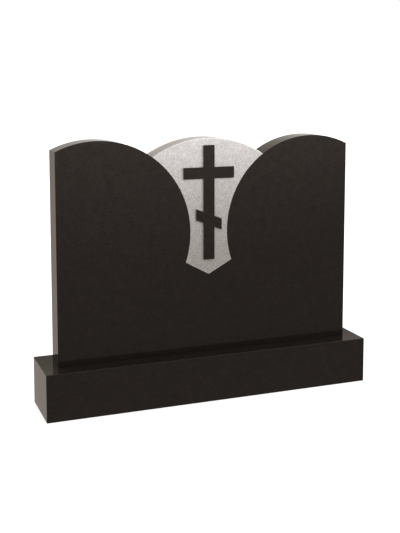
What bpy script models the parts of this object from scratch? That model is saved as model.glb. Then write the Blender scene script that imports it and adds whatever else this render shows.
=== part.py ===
"""A low, wide granite headstone on a long plinth.

A black slab with two round shoulders stands on a black plinth. Between the shoulders sits a light grey
insert that ends in a point, and a black three-bar cross lies on the insert's face.

Metres, +Z up. X runs along the stone, and the front faces -Y. The origin is the middle of the plinth's foot.
"""

import math

import bmesh
import bpy
from mathutils import Vector

# Plinth
PLINTH_LENGTH = 1.100
PLINTH_DEPTH = 0.200
PLINTH_HEIGHT = 0.150

# Slab, measured from its own foot
SLAB_WIDTH = 1.000
SLAB_HEIGHT = 0.700
SLAB_THICKNESS = 0.080
# How far each round shoulder has come down where it meets the slab's end
SHOULDER_DROP = 0.0306

# Insert: its narrowest part, the wider V-shaped point below that, and its round top
WAIST_WIDTH = 0.1272
POINT_WIDTH = 0.1592
POINT_DEPTH = 0.0433
INSERT_TOP_RADIUS = 0.349

# Cross
CROSS_LENGTH = 0.372
CROSS_BAR_WIDTH = 0.037
CROSS_THICKNESS = 0.004
CROSS_TOP_MARGIN = 0.023
CROSSBAR_SPAN = 0.173
CROSSBAR_DROP = 0.071
FOOTBAR_SPAN = 0.087
FOOTBAR_HEIGHT = 0.036
FOOTBAR_RISE = 0.131
FOOTBAR_SLOPE = math.radians(21.4)

# Flat cut along the edges that show, and the finer one on the cross
ARRIS = 0.0015
CROSS_ARRIS = 0.0005
# Joint between stones that touch
JOINT = 0.0003

# Longest turn between two points of an arc
ARC_STEP = math.radians(1.5)
# Points this close are one point, and faces this flat are one face
WELD = 0.00001
FLAT = math.radians(0.05)
# Edges that turn more than this are real edges
SHARP = math.radians(20)

BLACK_POLISHED = (0.018, 0.015, 0.013, 1.0)
LIGHT_GREY = (0.48, 0.46, 0.45, 1.0)
POLISHED = 0.08
HONED = 0.45


def clear_scene():
    for obj in list(bpy.data.objects):
        bpy.data.objects.remove(obj, do_unlink=True)


def stone(name, colour, roughness):
    material = bpy.data.materials.new(name)
    material.use_nodes = True
    shader = material.node_tree.nodes["Principled BSDF"]
    shader.inputs["Base Color"].default_value = colour
    shader.inputs["Roughness"].default_value = roughness
    shader.inputs["Metallic"].default_value = 0.0
    material.diffuse_color = colour
    return material


def group(name, parent, height, collection):
    """An empty that the pieces standing at one height are placed from."""
    empty = bpy.data.objects.new(name, None)
    empty.location.z = height
    empty.parent = parent
    collection.objects.link(empty)
    return empty


def arc(centre, radius, start, end):
    """Points on a circle from one angle to another, both ends included."""
    steps = max(1, math.ceil(abs(end - start) / ARC_STEP))
    angles = [start + (end - start) * i / steps for i in range(steps + 1)]
    return [centre + radius * Vector((math.cos(a), math.sin(a))) for a in angles]


def mirrored(points):
    """The same points on the other side of the stone's middle, in the opposite order."""
    return [Vector((-p.x, p.y)) for p in reversed(points)]


class Shoulder:
    """The circle of the right shoulder. It just reaches the waist, touches the slab's top, and meets the
    slab's end SHOULDER_DROP below that."""

    def __init__(self):
        reach = (SLAB_WIDTH - WAIST_WIDTH) / 2
        self.radius = reach + SHOULDER_DROP - math.sqrt(2 * reach * SHOULDER_DROP)
        self.centre = Vector((WAIST_WIDTH / 2 + self.radius, SLAB_HEIGHT - self.radius))

    def angle_at_end(self):
        end = Vector((SLAB_WIDTH / 2, SLAB_HEIGHT - SHOULDER_DROP)) - self.centre
        return math.atan2(end.y, end.x)

    def angle_at_insert_top(self, joint):
        """Where the shoulder, grown by the joint, meets the insert's round top."""
        radius = self.radius + joint
        to_insert = Vector((0, SLAB_HEIGHT - INSERT_TOP_RADIUS)) - self.centre
        apart = to_insert.length
        along = (radius**2 - INSERT_TOP_RADIUS**2 + apart**2) / (2 * apart)
        return math.atan2(to_insert.y, to_insert.x) % math.tau - math.acos(along / radius)

    def point_of_insert(self, joint):
        """The angle where the shoulder meets the slanted side of the point, and the height of the tip."""
        radius = self.radius + joint
        corner_x = POINT_WIDTH / 2
        below_centre = math.sqrt(self.radius**2 - (self.centre.x - corner_x) ** 2)
        corner = Vector((corner_x, self.centre.y - below_centre))
        slope = math.atan2(POINT_DEPTH, corner_x)
        inward = Vector((-math.sin(slope), math.cos(slope)))
        distance = (corner - self.centre).dot(inward) + joint
        angle = math.atan2(inward.y, inward.x) + math.acos(distance / radius)
        return angle, corner.y - POINT_DEPTH + joint / math.cos(slope)


def shoulder_beside_insert(shoulder, joint):
    """The right side of the insert, from its round top down to the tip of its point."""
    start = shoulder.angle_at_insert_top(joint)
    end, tip = shoulder.point_of_insert(joint)
    return arc(shoulder.centre, shoulder.radius + joint, start, end) + [Vector((0, tip))]


def slab_outline(shoulder):
    over = arc(
        shoulder.centre,
        shoulder.radius,
        shoulder.angle_at_end(),
        shoulder.angle_at_insert_top(0),
    )
    right = [Vector((SLAB_WIDTH / 2, 0))] + over + shoulder_beside_insert(shoulder, 0)[1:]
    return right + mirrored(right)[1:]


def insert_outline(shoulder):
    right = shoulder_beside_insert(shoulder, JOINT)
    centre = Vector((0, SLAB_HEIGHT - INSERT_TOP_RADIUS))
    corner = right[0] - centre
    start = math.atan2(corner.y, corner.x)
    top = arc(centre, INSERT_TOP_RADIUS, math.pi - start, start)
    return top + right[1:] + mirrored(right)[1:-1]


def cross_outline():
    half = CROSS_BAR_WIDTH / 2
    top = SLAB_HEIGHT - CROSS_TOP_MARGIN
    foot = top - CROSS_LENGTH
    bar_top = top - CROSSBAR_DROP

    def footbar_edge(x, side):
        middle = foot + FOOTBAR_RISE - math.tan(FOOTBAR_SLOPE) * x
        return Vector((x, middle + side * FOOTBAR_HEIGHT / 2))

    def up(side):
        """One side of the cross, from its foot to its top."""
        return [
            Vector((side * half, foot)),
            footbar_edge(side * half, -1),
            footbar_edge(side * FOOTBAR_SPAN / 2, -1),
            footbar_edge(side * FOOTBAR_SPAN / 2, 1),
            footbar_edge(side * half, 1),
            Vector((side * half, bar_top - CROSS_BAR_WIDTH)),
            Vector((side * CROSSBAR_SPAN / 2, bar_top - CROSS_BAR_WIDTH)),
            Vector((side * CROSSBAR_SPAN / 2, bar_top)),
            Vector((side * half, bar_top)),
            Vector((side * half, top)),
        ]

    return up(1) + up(-1)[::-1]


def mesh_of_outline(name, outline, thickness):
    """A flat stone of this outline, as a mesh whose two faces are each one polygon."""
    curve = bpy.data.curves.new(name + "_outline", "CURVE")
    curve.dimensions = "2D"
    curve.fill_mode = "BOTH"
    curve.extrude = thickness / 2
    spline = curve.splines.new("POLY")
    spline.points.add(len(outline) - 1)
    for point, place in zip(spline.points, outline):
        point.co = (place.x, place.y, 0, 1)
    spline.use_cyclic_u = True
    drawn = bpy.data.objects.new(name + "_outline", curve)
    bpy.context.scene.collection.objects.link(drawn)
    bpy.context.view_layer.update()
    depsgraph = bpy.context.evaluated_depsgraph_get()
    mesh = bpy.data.meshes.new_from_object(drawn.evaluated_get(depsgraph))
    mesh.name = name
    bpy.data.objects.remove(drawn, do_unlink=True)
    bpy.data.curves.remove(curve)
    bm = bmesh.new()
    bm.from_mesh(mesh)
    bmesh.ops.remove_doubles(bm, verts=bm.verts, dist=WELD)
    bmesh.ops.dissolve_limit(bm, angle_limit=FLAT, verts=bm.verts, edges=bm.edges)
    bmesh.ops.recalc_face_normals(bm, faces=bm.faces)
    bm.to_mesh(mesh)
    bm.free()
    return mesh


def cut_arrises(mesh, width, shows):
    """Cuts the sharp edges whose middle the function says shows."""
    bm = bmesh.new()
    bm.from_mesh(mesh)
    edges = [
        edge
        for edge in bm.edges
        if edge.calc_face_angle() > SHARP and shows((edge.verts[0].co + edge.verts[1].co) / 2)
    ]
    bmesh.ops.bevel(
        bm,
        geom=edges,
        offset=width,
        offset_type="OFFSET",
        segments=1,
        profile=0.5,
        affect="EDGES",
        clamp_overlap=True,
        material=-1,
    )
    bm.to_mesh(mesh)
    bm.free()


def upright_stone(mesh, back, thickness, parent, material, collection):
    """Stands the flat stone up, with its back face at this Y."""
    mesh.shade_smooth()
    mesh.set_sharp_from_angle(angle=SHARP)
    mesh.materials.clear()
    mesh.materials.append(material)
    obj = bpy.data.objects.new(mesh.name, mesh)
    obj.rotation_euler.x = math.pi / 2
    obj.location.y = back - thickness / 2
    obj.parent = parent
    collection.objects.link(obj)


def make_plinth(parent, collection):
    mesh = bpy.data.meshes.new("plinth")
    bm = bmesh.new()
    bmesh.ops.create_cube(bm, size=1)
    bmesh.ops.scale(bm, vec=(PLINTH_LENGTH, PLINTH_DEPTH, PLINTH_HEIGHT), verts=bm.verts)
    bm.to_mesh(mesh)
    bm.free()
    mesh.materials.append(stone("plinth_granite", BLACK_POLISHED, POLISHED))
    plinth = bpy.data.objects.new("plinth", mesh)
    plinth.location.z = PLINTH_HEIGHT / 2
    plinth.parent = parent
    collection.objects.link(plinth)
    arris = plinth.modifiers.new("arris", "BEVEL")
    arris.width = ARRIS
    arris.segments = 1
    arris.limit_method = "ANGLE"
    arris.angle_limit = SHARP


def make_slab(shoulder, parent, collection):
    mesh = mesh_of_outline("slab", slab_outline(shoulder), SLAB_THICKNESS)
    insert_corner = shoulder_beside_insert(shoulder, 0)[0]
    cut_arrises(mesh, ARRIS, lambda middle: middle.y > WELD and abs(middle.x) > insert_corner.x)
    material = stone("slab_granite", BLACK_POLISHED, POLISHED)
    upright_stone(mesh, SLAB_THICKNESS / 2, SLAB_THICKNESS, parent, material, collection)


def make_insert(shoulder, parent, collection):
    mesh = mesh_of_outline("insert", insert_outline(shoulder), SLAB_THICKNESS)
    corner = shoulder_beside_insert(shoulder, JOINT)[0]
    cut_arrises(mesh, ARRIS, lambda middle: middle.y > corner.y + WELD)
    material = stone("insert_granite", LIGHT_GREY, HONED)
    upright_stone(mesh, SLAB_THICKNESS / 2, SLAB_THICKNESS, parent, material, collection)


def make_cross(parent, collection):
    mesh = mesh_of_outline("cross", cross_outline(), CROSS_THICKNESS)
    front_only = CROSS_THICKNESS / 2 - WELD
    cut_arrises(mesh, CROSS_ARRIS, lambda middle: middle.z > front_only)
    material = stone("cross_granite", BLACK_POLISHED, POLISHED)
    back = -SLAB_THICKNESS / 2 - JOINT
    upright_stone(mesh, back, CROSS_THICKNESS, parent, material, collection)


def main():
    clear_scene()
    pieces = bpy.data.collections.new("headstone")
    bpy.context.scene.collection.children.link(pieces)
    headstone = group("headstone_origin", None, 0, pieces)
    on_plinth = group("on_plinth", headstone, PLINTH_HEIGHT + JOINT, pieces)
    shoulder = Shoulder()
    make_plinth(headstone, pieces)
    make_slab(shoulder, on_plinth, pieces)
    make_insert(shoulder, on_plinth, pieces)
    make_cross(on_plinth, pieces)


main()
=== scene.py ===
import math

import bmesh
import bpy
from mathutils import Matrix, Vector


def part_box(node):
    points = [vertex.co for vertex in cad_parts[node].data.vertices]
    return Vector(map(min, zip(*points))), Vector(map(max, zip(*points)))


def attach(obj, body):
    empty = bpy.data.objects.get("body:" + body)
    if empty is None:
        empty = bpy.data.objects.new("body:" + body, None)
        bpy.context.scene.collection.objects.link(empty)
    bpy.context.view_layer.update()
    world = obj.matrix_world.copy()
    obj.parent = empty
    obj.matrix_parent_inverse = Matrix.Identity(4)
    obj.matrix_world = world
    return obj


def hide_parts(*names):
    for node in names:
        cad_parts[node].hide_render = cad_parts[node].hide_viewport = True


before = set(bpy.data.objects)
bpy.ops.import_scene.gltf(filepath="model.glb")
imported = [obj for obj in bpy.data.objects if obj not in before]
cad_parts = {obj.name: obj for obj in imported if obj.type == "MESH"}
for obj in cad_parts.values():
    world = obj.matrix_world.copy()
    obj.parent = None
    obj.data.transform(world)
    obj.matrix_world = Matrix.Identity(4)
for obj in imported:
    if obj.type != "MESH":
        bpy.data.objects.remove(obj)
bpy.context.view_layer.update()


# Plinth: one long bar of black gabbro that the whole stone stands on. It is sawn, then polished on every
# face that shows, and its edges are rubbed to narrow round arrises. The underside keeps the saw's marks.
plinth_low, plinth_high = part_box("plinth")
ARRIS_WIDTH = 0.0015
ARRIS_SEGMENTS = 4
ARRIS_MARK = "arris"
SHARP_TURN = math.radians(35)
FLAT_FACE_WEIGHT = 100
WELD = 0.00001


def inlet(group, name, kind, value):
    """Gives the group an input of this kind, with the value it has where nothing feeds it."""
    socket = group.interface.new_socket(name, in_out="INPUT", socket_type="NodeSocket" + kind)
    socket.default_value = value


def outlet(group, name, kind):
    """Gives the group an output of this kind."""
    group.interface.new_socket(name, in_out="OUTPUT", socket_type="NodeSocket" + kind)


def feed(tree, node, inputs):
    """Links each named input of the node to a socket, or sets it to a value, and returns the node."""
    for name, value in inputs.items():
        if isinstance(value, bpy.types.NodeSocket):
            tree.links.new(value, node.inputs[name])
        else:
            node.inputs[name].default_value = value
    return node


def add_node(tree, kind, inputs):
    """A new node of this kind, with its inputs fed."""
    return feed(tree, tree.nodes.new("ShaderNode" + kind), inputs)


def math_node(tree, operation, *values):
    """A Math node on the values, each a socket or a number, and its result."""
    node = tree.nodes.new("ShaderNodeMath")
    node.operation = operation
    return feed(tree, node, dict(enumerate(values))).outputs["Value"]


def vector_node(tree, operation, first, second):
    """A Vector Math node on two vectors, and its result."""
    node = tree.nodes.new("ShaderNodeVectorMath")
    node.operation = operation
    return feed(tree, node, {0: first, 1: second}).outputs["Vector"]


def scaled(tree, vector, factor):
    """The vector or colour times the factor."""
    node = tree.nodes.new("ShaderNodeVectorMath")
    node.operation = "SCALE"
    return feed(tree, node, {0: vector, "Scale": factor}).outputs["Vector"]


# A Mix node's colour sockets share their names with others, so they go by number.
COLOUR_UNDER = 6
COLOUR_OVER = 7
COLOUR_RESULT = 2


def blend_colours(tree, share, under, over):
    """The two colours mixed, with the given share of the second."""
    node = tree.nodes.new("ShaderNodeMix")
    node.data_type = "RGBA"
    feed(tree, node, {"Factor": share, COLOUR_UNDER: under, COLOUR_OVER: over})
    return node.outputs[COLOUR_RESULT]


# Stone crystals: interlocking grains of three minerals with ragged borders, soft clouds where one mineral
# gathers, and a polish that takes a little differently on each grain.
BORDER_DETAIL = 2.0
BORDER_WANDER = 1.2
CLOUD_DETAIL = 3.0

crystals = bpy.data.node_groups.new("stone crystals", "ShaderNodeTree")
inlet(crystals, "Vector", "Vector", (0.0, 0.0, 0.0))
inlet(crystals, "Grains per Metre", "Float", 600.0)
inlet(crystals, "Ground Mineral", "Color", (0.5, 0.5, 0.5, 1.0))
inlet(crystals, "Dark Mineral", "Color", (0.1, 0.1, 0.1, 1.0))
inlet(crystals, "Light Mineral", "Color", (0.9, 0.9, 0.9, 1.0))
inlet(crystals, "Dark Share", "Float", 0.1)
inlet(crystals, "Light Share", "Float", 0.1)
inlet(crystals, "Shade Change", "Float", 0.3)
inlet(crystals, "Clouds per Metre", "Float", 20.0)
inlet(crystals, "Cloud Depth", "Float", 0.1)
inlet(crystals, "Polish", "Float", 0.1)
inlet(crystals, "Polish Change", "Float", 0.05)
outlet(crystals, "Color", "Color")
outlet(crystals, "Roughness", "Float")
outlet(crystals, "Height", "Float")
inside = crystals.nodes.new("NodeGroupInput").outputs
place = inside["Vector"]
grains_per_metre = inside["Grains per Metre"]

borders = add_node(
    crystals,
    "TexNoise",
    {"Vector": place, "Scale": grains_per_metre, "Detail": BORDER_DETAIL},
)
border_draw = vector_node(crystals, "SUBTRACT", borders.outputs["Color"], (0.5, 0.5, 0.5))
reach = math_node(crystals, "DIVIDE", BORDER_WANDER, grains_per_metre)
wander = scaled(crystals, border_draw, reach)
ragged_place = vector_node(crystals, "ADD", place, wander)
grains = add_node(crystals, "TexVoronoi", {"Vector": ragged_place, "Scale": grains_per_metre})
draws = add_node(crystals, "SeparateColor", {"Color": grains.outputs["Color"]}).outputs

clouds = add_node(
    crystals,
    "TexNoise",
    {"Vector": place, "Scale": inside["Clouds per Metre"], "Detail": CLOUD_DETAIL},
)
cloud_draw = math_node(crystals, "SUBTRACT", clouds.outputs["Fac"], 0.5)
cloud_lift = math_node(crystals, "MULTIPLY", cloud_draw, inside["Cloud Depth"])
grain_draw = math_node(crystals, "SUBTRACT", draws["Green"], 0.5)
grain_lift = math_node(crystals, "MULTIPLY", grain_draw, inside["Shade Change"])
shade = math_node(crystals, "ADD", math_node(crystals, "ADD", grain_lift, cloud_lift), 1.0)

is_dark = math_node(crystals, "LESS_THAN", draws["Red"], inside["Dark Share"])
light_from = math_node(crystals, "SUBTRACT", 1.0, inside["Light Share"])
is_light = math_node(crystals, "GREATER_THAN", draws["Red"], light_from)
mixed = blend_colours(crystals, is_dark, inside["Ground Mineral"], inside["Dark Mineral"])
mixed = blend_colours(crystals, is_light, mixed, inside["Light Mineral"])
polish_change = math_node(crystals, "MULTIPLY", draws["Blue"], inside["Polish Change"])
feed(
    crystals,
    crystals.nodes.new("NodeGroupOutput"),
    {
        "Color": scaled(crystals, mixed, shade),
        "Roughness": math_node(crystals, "ADD", polish_change, inside["Polish"]),
        "Height": math_node(crystals, "ADD", draws["Blue"], cloud_lift),
    },
)


# Arris: along its rounded edges the stone is duller than on its faces, because they are rubbed by hand,
# which leaves a coarser polish than the machine does. Its colour there is also made paler: a painted
# highlight.
arris_dullness_and_highlight = bpy.data.node_groups.new("arris dullness and painted highlight", "ShaderNodeTree")
inlet(arris_dullness_and_highlight, "Color", "Color", (0.5, 0.5, 0.5, 1.0))
inlet(arris_dullness_and_highlight, "Roughness", "Float", 0.1)
inlet(arris_dullness_and_highlight, "Arris", "Float", 0.0)
inlet(arris_dullness_and_highlight, "Paler By", "Float", 0.2)
inlet(arris_dullness_and_highlight, "Duller By", "Float", 0.1)
outlet(arris_dullness_and_highlight, "Color", "Color")
outlet(arris_dullness_and_highlight, "Roughness", "Float")
inside = arris_dullness_and_highlight.nodes.new("NodeGroupInput").outputs
# Painted highlight: the colour is made paler on the marked arris faces by the Paler By share.
paler = math_node(arris_dullness_and_highlight, "ADD", math_node(arris_dullness_and_highlight, "MULTIPLY", inside["Arris"], inside["Paler By"]), 1.0)
duller = math_node(arris_dullness_and_highlight, "MULTIPLY", inside["Arris"], inside["Duller By"])
feed(
    arris_dullness_and_highlight,
    arris_dullness_and_highlight.nodes.new("NodeGroupOutput"),
    {
        "Color": scaled(arris_dullness_and_highlight, inside["Color"], paler),
        "Roughness": math_node(arris_dullness_and_highlight, "ADD", inside["Roughness"], duller),
    },
)


def group_node(tree, group, inputs):
    """The group placed in the tree with its inputs fed, and what it puts out."""
    node = tree.nodes.new("ShaderNodeGroup")
    node.node_tree = group
    return feed(tree, node, inputs).outputs


def pattern_place(tree, offset):
    """The place on the stone, in metres, moved by the offset."""
    own_place = tree.nodes.new("ShaderNodeTexCoord").outputs["Object"]
    return add_node(tree, "Mapping", {"Vector": own_place, "Location": offset}).outputs["Vector"]


RELIEF_STRENGTH = 0.3


def stone_material(name, stone, offset):
    """The stone's material. The offset moves its pattern, so that no two blocks are cut alike."""
    material = bpy.data.materials.new(name)
    material.use_nodes = True
    tree = material.node_tree
    marked = tree.nodes.new("ShaderNodeAttribute")
    marked.attribute_name = ARRIS_MARK
    grain = group_node(tree, crystals, {**stone["crystals"], "Vector": pattern_place(tree, offset)})
    surface = {"Arris": marked.outputs["Fac"], "Color": grain["Color"], "Roughness": grain["Roughness"]}
    edge = group_node(tree, arris_dullness_and_highlight, {**stone["arris"], **surface})
    relief = {"Strength": RELIEF_STRENGTH, "Distance": stone["relief"], "Height": grain["Height"]}
    bump = add_node(tree, "Bump", relief)
    feed(
        tree,
        tree.nodes["Principled BSDF"],
        {
            "IOR": stone["ior"],
            "Base Color": edge["Color"],
            "Roughness": edge["Roughness"],
            "Normal": bump.outputs["Normal"],
        },
    )
    return material


def object_from(bm, name):
    """The shape made an object of the scene."""
    mesh = bpy.data.meshes.new(name)
    bm.to_mesh(mesh)
    bm.free()
    made = bpy.data.objects.new(name, mesh)
    bpy.context.scene.collection.objects.link(made)
    return made


def finish_stone(bm, name, solid, material):
    """The shape made a piece that rides with the whole stone and stands for the CAD solid."""
    bmesh.ops.recalc_face_normals(bm, faces=bm.faces)
    piece = object_from(bm, name)
    piece.data.materials.append(material)
    piece.data.shade_smooth()
    piece.data.set_sharp_from_angle(angle=SHARP_TURN)
    even = piece.modifiers.new("even shading", "WEIGHTED_NORMAL")
    even.weight = FLAT_FACE_WEIGHT
    even.keep_sharp = True
    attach(piece, "root")
    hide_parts(solid)
    return piece


def round_arrises(bm, edges, width, segments):
    """Rounds the edges and marks the new faces for the material."""
    mark = bm.faces.layers.float.new(ARRIS_MARK)
    rounded = bmesh.ops.bevel(
        bm,
        geom=edges,
        offset=width,
        offset_type="OFFSET",
        affect="EDGES",
        segments=segments,
        profile=0.5,
        clamp_overlap=True,
        material=-1,
    )
    for face in rounded["faces"]:
        face[mark] = 1.0


BLACK_CRYSTALS = {
    "Grains per Metre": 700.0,
    "Ground Mineral": (0.0146, 0.0120, 0.0107, 1.0),
    "Dark Mineral": (0.0097, 0.0080, 0.0072, 1.0),
    "Light Mineral": (0.0228, 0.0189, 0.0170, 1.0),
    "Dark Share": 0.30,
    "Light Share": 0.08,
    "Shade Change": 0.18,
    "Clouds per Metre": 45.0,
    "Cloud Depth": 0.60,
    "Polish": 0.04,
    "Polish Change": 0.05,
}
BLACK_GABBRO = {
    "crystals": BLACK_CRYSTALS,
    # The arris's Paler By share is a painted highlight; its Duller By share is a coarser polish.
    "arris": {"Paler By": 0.25, "Duller By": 0.10},
    "ior": 1.25,
    "relief": 0.000002,
}
PLINTH_PATTERN = (0.0, 0.0, 0.0)
SAWN_SLOT = 1

plinth = bmesh.new()
plinth_place = Matrix.Translation((plinth_low + plinth_high) / 2)
plinth_place = plinth_place @ Matrix.Diagonal((*(plinth_high - plinth_low), 1.0))
bmesh.ops.create_cube(plinth, size=1, matrix=plinth_place)
round_arrises(plinth, plinth.edges[:], ARRIS_WIDTH, ARRIS_SEGMENTS)
plinth.normal_update()
for face in plinth.faces:
    if face.normal.z < -1 + WELD:
        face.material_index = SAWN_SLOT
plinth_stone = stone_material("plinth_stone", BLACK_GABBRO, PLINTH_PATTERN)
plinth_bar = finish_stone(plinth, "plinth_bar", "plinth", plinth_stone)

# The plinth's underside: sawn and left so, a paler and rougher grey than the polished faces, with the
# shallow arcs that the blade leaves about its axle.
SAWN_GABBRO = {
    **BLACK_GABBRO,
    "crystals": {
        **BLACK_CRYSTALS,
        "Ground Mineral": (0.0640, 0.0590, 0.0550, 1.0),
        "Dark Mineral": (0.0380, 0.0350, 0.0330, 1.0),
        "Light Mineral": (0.1100, 0.1030, 0.0970, 1.0),
        "Polish": 0.55,
        "Polish Change": 0.15,
    },
    "relief": 0.0002,
}
SAW_AXLE = (-0.2, 0.9, 0.0)
SAW_ARCS = {"Scale": 24.0, "Distortion": 1.5, "Detail Scale": 4.0}
SAW_ARC_DEPTH = 6.0

plinth_sawn = stone_material("plinth_sawn", SAWN_GABBRO, PLINTH_PATTERN)
sawn_tree = plinth_sawn.node_tree
arcs = add_node(sawn_tree, "TexWave", {**SAW_ARCS, "Vector": pattern_place(sawn_tree, SAW_AXLE)})
arcs.wave_type = "RINGS"
arcs.rings_direction = "Z"
arc_height = math_node(sawn_tree, "MULTIPLY", arcs.outputs["Fac"], SAW_ARC_DEPTH)
sawn_bump = sawn_tree.nodes["Bump"]
grain_height = sawn_bump.inputs["Height"].links[0].from_socket
feed(sawn_tree, sawn_bump, {"Height": math_node(sawn_tree, "ADD", grain_height, arc_height)})
plinth_bar.data.materials.append(plinth_sawn)


# Slab: one upright slab of the same black stone, polished, and fixed on the plinth with stone adhesive. Its
# two shoulders are parts of circles that sweep over the top and down beside the insert to its point.
slab_low, slab_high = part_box("slab")
SLAB_WIDTH = 1.000
SLAB_HEIGHT = 0.700
SHOULDER_DROP = 0.0306
WAIST_WIDTH = 0.1272
POINT_WIDTH = 0.1592
POINT_DEPTH = 0.0433
INSERT_TOP_RADIUS = 0.349
ARC_STEP = math.radians(0.75)
SLAB_PATTERN = (3.1, 1.7, 0.4)

slab_foot = slab_low.z
slab_top = slab_foot + SLAB_HEIGHT
slab_front = slab_low.y
slab_thickness = slab_high.y - slab_front
shoulder_reach = (SLAB_WIDTH - WAIST_WIDTH) / 2
shoulder_radius = shoulder_reach + SHOULDER_DROP - math.sqrt(2 * shoulder_reach * SHOULDER_DROP)
shoulder_centre = Vector((WAIST_WIDTH / 2 + shoulder_radius, slab_front, slab_top - shoulder_radius))
insert_centre = Vector((0.0, slab_front, slab_top - INSERT_TOP_RADIUS))
point_slope = math.atan2(POINT_DEPTH, POINT_WIDTH / 2)


def angle_seen_from(centre, point):
    """The point's angle about the centre on the front face, from +X towards +Z."""
    return math.atan2(point.z - centre.z, point.x - centre.x)


def corner_with_insert_top(radius):
    """Where a circle of this radius about the shoulder's centre meets the insert's round top."""
    apart = insert_centre - shoulder_centre
    along = (radius**2 - INSERT_TOP_RADIUS**2 + apart.length_squared) / (2 * apart.length)
    across = math.sqrt(radius**2 - along**2)
    outward = apart.normalized()
    return shoulder_centre + along * outward + across * Vector((outward.z, 0.0, -outward.x))


def corner_with_point(gap):
    """Where the shoulder's circle meets the slanted side of the point, both moved in by the gap."""
    below = math.sqrt(shoulder_radius**2 - (shoulder_centre.x - POINT_WIDTH / 2) ** 2)
    corner = Vector((POINT_WIDTH / 2, slab_front, shoulder_centre.z - below))
    inward = Vector((-math.sin(point_slope), 0.0, math.cos(point_slope)))
    radius = shoulder_radius + gap
    distance = (corner - shoulder_centre).dot(inward) + gap
    angle = math.atan2(inward.z, inward.x) + math.acos(distance / radius)
    return shoulder_centre + radius * Vector((math.cos(angle), 0.0, math.sin(angle)))


def sweep(bm, vertex, centre, stop):
    """Draws an arc about the centre from the vertex to the stop, anticlockwise on the front face."""
    turn = (angle_seen_from(centre, stop) - angle_seen_from(centre, vertex.co)) % math.tau
    steps = math.ceil(turn / ARC_STEP)
    arc = bmesh.ops.spin(bm, geom=[vertex], cent=centre, axis=(0, -1, 0), angle=turn, steps=steps)
    return arc["geom_last"][0]


def draw_to(bm, vertex, place):
    """Draws a straight line from the vertex to the place."""
    line = bmesh.ops.extrude_vert_indiv(bm, verts=[vertex])
    line["verts"][0].co = place
    return line["verts"][0]


def move_corners(bm, parts, way):
    """Moves the corners among the parts, such as those that an extrusion has made."""
    corners = [part for part in parts if isinstance(part, bmesh.types.BMVert)]
    bmesh.ops.translate(bm, vec=way, verts=corners)


def stone_from_half_outline(bm, thickness):
    """Mirrors the drawn right half of an outline, fills it, and gives it its thickness towards the back."""
    bmesh.ops.mirror(bm, geom=bm.verts[:] + bm.edges[:], axis="X", merge_dist=WELD)
    face = bmesh.ops.contextual_create(bm, geom=bm.edges[:])["faces"]
    move_corners(bm, bmesh.ops.extrude_face_region(bm, geom=face)["geom"], (0.0, thickness, 0.0))


def middle_of(edge):
    """The middle of the edge."""
    return (edge.verts[0].co + edge.verts[1].co) / 2


def outline_edges(bm, shows):
    """The edges between the stone's flat faces and its rim, where the function says that they show."""
    bm.normal_update()
    return [edge for edge in bm.edges if edge.calc_face_angle() > SHARP_TURN and shows(middle_of(edge))]


slab = bmesh.new()
over_insert = corner_with_insert_top(shoulder_radius)
at_end = slab.verts.new((SLAB_WIDTH / 2, slab_front, slab_top - SHOULDER_DROP))
at_insert = sweep(slab, at_end, shoulder_centre, over_insert)
at_point = sweep(slab, at_insert, shoulder_centre, corner_with_point(0.0))
draw_to(slab, at_point, (0.0, slab_front, at_point.co.z - POINT_DEPTH))
at_foot = draw_to(slab, at_end, (SLAB_WIDTH / 2, slab_front, slab_foot))
draw_to(slab, at_foot, (0.0, slab_front, slab_foot))
stone_from_half_outline(slab, slab_thickness)
exposed = outline_edges(slab, lambda p: p.z > slab_foot + WELD and abs(p.x) > over_insert.x)
round_arrises(slab, exposed, ARRIS_WIDTH, ARRIS_SEGMENTS)
slab_stone = stone_material("slab_stone", BLACK_GABBRO, SLAB_PATTERN)
finish_stone(slab, "upright_slab", "slab", slab_stone)


# Insert: a light grey, fine grained granite of the slab's thickness, glued between the two shoulders. Its
# sides follow them, its foot is a blunt point and its top is part of a wider circle. It is honed, not
# polished, and its top edges are rubbed wider than the black stone's.
LIGHT_GRANITE = {
    "crystals": {
        "Grains per Metre": 380.0,
        "Ground Mineral": (0.334, 0.330, 0.332, 1.0),
        "Dark Mineral": (0.270, 0.266, 0.268, 1.0),
        "Light Mineral": (0.400, 0.395, 0.397, 1.0),
        "Dark Share": 0.10,
        "Light Share": 0.22,
        "Shade Change": 0.19,
        "Clouds per Metre": 90.0,
        "Cloud Depth": 0.25,
        "Polish": 0.45,
        "Polish Change": 0.15,
    },
    # The arris's Paler By share is a painted highlight along the insert's top edges.
    "arris": {"Paler By": 0.30, "Duller By": 0.0},
    "ior": 1.25,
    "relief": 0.00002,
}
LIGHT_ARRIS_WIDTH = 0.0025
JOINT = 0.0003
INSERT_PATTERN = (0.0, 0.0, 0.0)

insert = bmesh.new()
insert_corner = corner_with_insert_top(shoulder_radius + JOINT)
at_shoulder = insert.verts.new(insert_corner)
at_point = sweep(insert, at_shoulder, shoulder_centre, corner_with_point(JOINT))
tip_drop = math.tan(point_slope) * at_point.co.x
draw_to(insert, at_point, (0.0, slab_front, at_point.co.z - tip_drop))
sweep(insert, at_shoulder, insert_centre, Vector((0.0, slab_front, slab_top)))
stone_from_half_outline(insert, slab_thickness)
exposed = outline_edges(insert, lambda p: p.z > insert_corner.z + WELD)
round_arrises(insert, exposed, LIGHT_ARRIS_WIDTH, ARRIS_SEGMENTS)
insert_stone = stone_material("insert_stone", LIGHT_GRANITE, INSERT_PATTERN)
finish_stone(insert, "light_insert", "insert", insert_stone)


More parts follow.
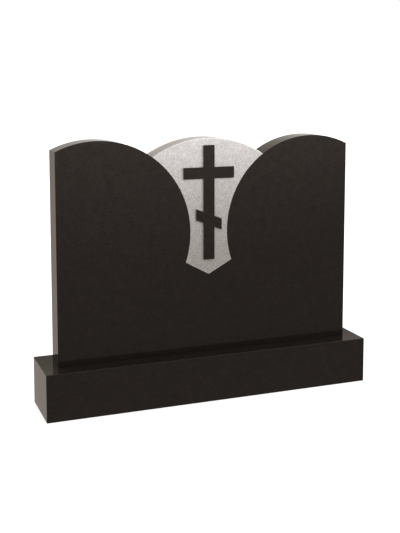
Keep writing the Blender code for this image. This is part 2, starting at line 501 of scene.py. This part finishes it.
# Cross: a three-bar cross with a slanted foot bar, sawn in one piece from a thin plate of black stone,
# polished, and glued to the insert's face. It stands 4 mm proud, with finely rounded front edges.
cross_low, cross_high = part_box("cross")
BAR_WIDTH = 0.037
CROSSBAR_DROP = 0.071
FOOTBAR_SPAN = 0.087
FOOTBAR_HEIGHT = 0.036
FOOTBAR_RISE = 0.131
FOOTBAR_SLOPE = math.radians(21.4)
CROSS_ARRIS_WIDTH = 0.0005
CROSS_ARRIS_SEGMENTS = 3
CROSS_PATTERN = (7.2, 0.9, 2.6)

cross_back = cross_high.y
crossbar_top = cross_high.z - CROSSBAR_DROP
crossbar_foot = crossbar_top - BAR_WIDTH
footbar_top = cross_low.z + FOOTBAR_RISE + FOOTBAR_HEIGHT / 2
footbar_foot = cross_low.z + FOOTBAR_RISE - FOOTBAR_HEIGHT / 2
level = Vector((0.0, 0.0, 1.0))
slanted = Vector((math.sin(FOOTBAR_SLOPE), 0.0, math.cos(FOOTBAR_SLOPE)))


def score(bm, height, upward):
    """Cuts the plate along a line through its middle at this height, square to the upward direction."""
    through = (0.0, cross_back, height)
    parts = bm.verts[:] + bm.edges[:] + bm.faces[:]
    bmesh.ops.bisect_plane(bm, geom=parts, dist=WELD, plane_co=through, plane_no=upward)


def draw_out_bar(bm, foot, top, slope, half_span):
    """Draws both sides of the upright out between two scored lines, along the bar's slope."""
    for side in (1, -1):
        x = side * BAR_WIDTH / 2
        fall = math.tan(slope) * x
        on_side = []
        for edge in bm.edges:
            middle = middle_of(edge)
            if abs(middle.x - x) < WELD and foot - fall < middle.z < top - fall:
                on_side.append(edge)
        drawn = bmesh.ops.extrude_edge_only(bm, edges=on_side)["geom"]
        reach = side * half_span - x
        move_corners(bm, drawn, (reach, 0.0, -math.tan(slope) * reach))


cross = bmesh.new()
upright_size = Vector((BAR_WIDTH, cross_high.z - cross_low.z, 1.0, 1.0))
upright_place = Matrix.Translation((0.0, cross_back, (cross_low.z + cross_high.z) / 2))
upright_place = upright_place @ Matrix.Rotation(math.pi / 2, 4, "X") @ Matrix.Diagonal(upright_size)
bmesh.ops.create_grid(cross, x_segments=1, y_segments=1, size=0.5, matrix=upright_place)
score(cross, crossbar_top, level)
score(cross, crossbar_foot, level)
score(cross, footbar_top, slanted)
score(cross, footbar_foot, slanted)
draw_out_bar(cross, crossbar_foot, crossbar_top, 0.0, cross_high.x)
draw_out_bar(cross, footbar_foot, footbar_top, FOOTBAR_SLOPE, FOOTBAR_SPAN / 2)
thick = bmesh.ops.extrude_face_region(cross, geom=cross.faces[:])["geom"]
move_corners(cross, thick, (0.0, cross_low.y - cross_back, 0.0))
front_edges = outline_edges(cross, lambda p: p.y < cross_low.y + WELD)
round_arrises(cross, front_edges, CROSS_ARRIS_WIDTH, CROSS_ARRIS_SEGMENTS)
cross_stone = stone_material("cross_stone", BLACK_GABBRO, CROSS_PATTERN)
finish_stone(cross, "cross_plate", "cross", cross_stone)


# Floor: plain and white, and wide enough that its edge is never in view. A faint light of its own keeps it
# evenly white, while the stone mirrors it, and takes light from it, as a warm grey.
FLOOR_HALF = 30.0
FLOOR_WHITE = (0.50, 0.55, 0.60, 1.0)
FLOOR_LIFT = (0.66, 0.66, 0.66, 1.0)
FLOOR_MIRRORED = (0.664, 0.588, 0.520, 1.0)


def bare_material(name):
    """A material without nodes."""
    material = bpy.data.materials.new(name)
    material.use_nodes = True
    material.node_tree.nodes.clear()
    return material


def glow(tree, colour):
    """Light of this colour that a surface gives off by itself."""
    return add_node(tree, "Emission", {"Color": colour}).outputs["Emission"]


floor = bmesh.new()
bmesh.ops.create_grid(floor, x_segments=1, y_segments=1, size=FLOOR_HALF)
floor_object = object_from(floor, "floor")

pale = bare_material("pale_floor")
floor_tree = pale.node_tree
floor_seen = floor_tree.nodes.new("ShaderNodeLightPath").outputs["Is Camera Ray"]
matt = add_node(floor_tree, "BsdfDiffuse", {"Color": FLOOR_WHITE}).outputs["BSDF"]
white = add_node(floor_tree, "AddShader", {0: matt, 1: glow(floor_tree, FLOOR_LIFT)}).outputs["Shader"]
floor_looks = {"Fac": floor_seen, 1: glow(floor_tree, FLOOR_MIRRORED), 2: white}
shown = add_node(floor_tree, "MixShader", floor_looks).outputs["Shader"]
add_node(floor_tree, "OutputMaterial", {"Surface": shown})
floor_object.data.materials.append(pale)


# Room: soft warm light from all round, stronger overhead and on the right. The stone is lit by it and
# mirrors it, while the camera sees plain white.
ROOM_WHITE = (1.0, 1.0, 1.0, 1.0)
ROOM_BY_HEIGHT = (
    (0.00, (0.69, 0.645, 0.607, 1.0)),
    (0.18, (0.665, 0.618, 0.576, 1.0)),
    (0.42, (0.66, 0.581, 0.515, 1.0)),
    (0.80, (1.74, 1.636, 1.540, 1.0)),
)
ROOM_RIGHT_GAIN = 0.5


def colour_by_height(tree, height, stops, interpolation):
    """The colour at this height, from stops that each have a height and a colour."""
    node = add_node(tree, "ValToRGB", {"Fac": height})
    ramp = node.color_ramp
    ramp.interpolation = interpolation
    while len(ramp.elements) < len(stops):
        ramp.elements.new(0.5)
    for element, (stop_height, colour) in zip(ramp.elements, stops):
        element.position = stop_height
        element.color = colour
    return node.outputs["Color"]


room = bpy.data.worlds.new("room")
room.use_nodes = True
room_tree = room.node_tree
room_seen = room_tree.nodes.new("ShaderNodeLightPath").outputs["Is Camera Ray"]
direction = room_tree.nodes.new("ShaderNodeTexCoord").outputs["Generated"]
towards = add_node(room_tree, "SeparateXYZ", {"Vector": direction}).outputs
walls = colour_by_height(room_tree, towards["Z"], ROOM_BY_HEIGHT, "EASE")
right_gain = math_node(room_tree, "MULTIPLY_ADD", towards["X"], ROOM_RIGHT_GAIN, 1.0)
room_tone = blend_colours(room_tree, room_seen, scaled(room_tree, walls, right_gain), ROOM_WHITE)
feed(room_tree, room_tree.nodes["Background"], {"Color": room_tone})
bpy.context.scene.world = room


# Screens: two low, wide sheets that stand behind the stone, side by side, and glow with light of their own:
# painted reflections that only the polished faces mirror, with a darker band above the middle that paints
# them darker there.
SCREEN_DISTANCE = 2.1
SCREEN_ENDS = ((-2.6, 0.1), (1.0, 2.6))
SCREEN_BY_HEIGHT = (
    (0.62, FLOOR_MIRRORED),
    (0.77, (0.34, 0.286, 0.238, 1.0)),
    (0.88, (0.50, 0.430, 0.370, 1.0)),
    (1.00, (0.72, 0.672, 0.632, 1.0)),
)

screen = bmesh.new()
for left, right in SCREEN_ENDS:
    draw_to(screen, screen.verts.new((left, SCREEN_DISTANCE, 0.0)), (right, SCREEN_DISTANCE, 0.0))
raised = bmesh.ops.extrude_edge_only(screen, edges=screen.edges[:])["geom"]
move_corners(screen, raised, (0.0, 0.0, SCREEN_BY_HEIGHT[-1][0]))
screen_object = object_from(screen, "screen")
screen_object.visible_camera = False
screen_object.visible_diffuse = False
screen_object.visible_transmission = False
screen_object.visible_shadow = False

reflection_glow = bare_material("screen_painted_reflection")
reflection_glow_tree = reflection_glow.node_tree
reflection_glow_place = reflection_glow_tree.nodes.new("ShaderNodeTexCoord").outputs["Object"]
reflection_glow_height = add_node(reflection_glow_tree, "SeparateXYZ", {"Vector": reflection_glow_place}).outputs["Z"]
# Painted reflection: the glow's tone by height, darkest in the band above the middle.
reflection_glow_tone = colour_by_height(reflection_glow_tree, reflection_glow_height, SCREEN_BY_HEIGHT, "LINEAR")
add_node(reflection_glow_tree, "OutputMaterial", {"Surface": glow(reflection_glow_tree, reflection_glow_tone)})
screen_object.data.materials.append(reflection_glow)


# Spotlights: three side by side on the right, well above the stone, each with its place, what it aims at,
# its beam in degrees and its power. Aimed high, they light the upper part of the stone a little more.
SPOTLIGHTS = (
    ((2.90, -5.06, 2.40), (0.41, -0.04, 5.00), 89.0, 8350.0),
    ((4.31, -3.92, 2.40), (1.08, -0.04, 5.00), 94.8, 12500.0),
    ((5.12, -2.76, 2.40), (1.50, -0.04, 3.59), 70.2, 10800.0),
)
SPOTLIGHT_RADIUS = 0.25
SPOTLIGHT_BLEND = 1.0

for number, (spot_place, target, beam, watts) in enumerate(SPOTLIGHTS, 1):
    spot = bpy.data.lights.new(f"spotlight_{number}", "SPOT")
    spot.energy = watts
    spot.spot_size = math.radians(beam)
    spot.spot_blend = SPOTLIGHT_BLEND
    spot.shadow_soft_size = SPOTLIGHT_RADIUS
    spot_object = bpy.data.objects.new(f"spotlight_{number}", spot)
    spot_object.location = spot_place
    spot_object.visible_glossy = False
    aim = Vector(target) - Vector(spot_place)
    spot_object.rotation_euler = aim.to_track_quat("-Z", "Y").to_euler()
    bpy.context.scene.collection.objects.link(spot_object)


# Camera: in front of the stone, about a metre to the left and a little above its top, as in the photograph.
# Part of the view's fall comes from a lens shift, which keeps the upright edges nearly upright, and the rest
# from a slight tilt.
LENS = 62.399
SENSOR_WIDTH = 36.0
LENS_SHIFT = -0.18
CAMERA_PLACE = (-1.0794, -2.7881, 1.0685)
CAMERA_TILT = 6.258
CAMERA_TURN = 20.890

camera = bpy.data.cameras.new("camera")
camera.lens = LENS
camera.sensor_width = SENSOR_WIDTH
camera.shift_y = LENS_SHIFT
camera_object = bpy.data.objects.new("camera", camera)
camera_object.location = CAMERA_PLACE
camera_object.rotation_euler = (math.radians(90 - CAMERA_TILT), 0.0, math.radians(-CAMERA_TURN))
bpy.context.scene.collection.objects.link(camera_object)
bpy.context.scene.camera = camera_object
bpy.context.scene.view_settings.view_transform = "Standard"
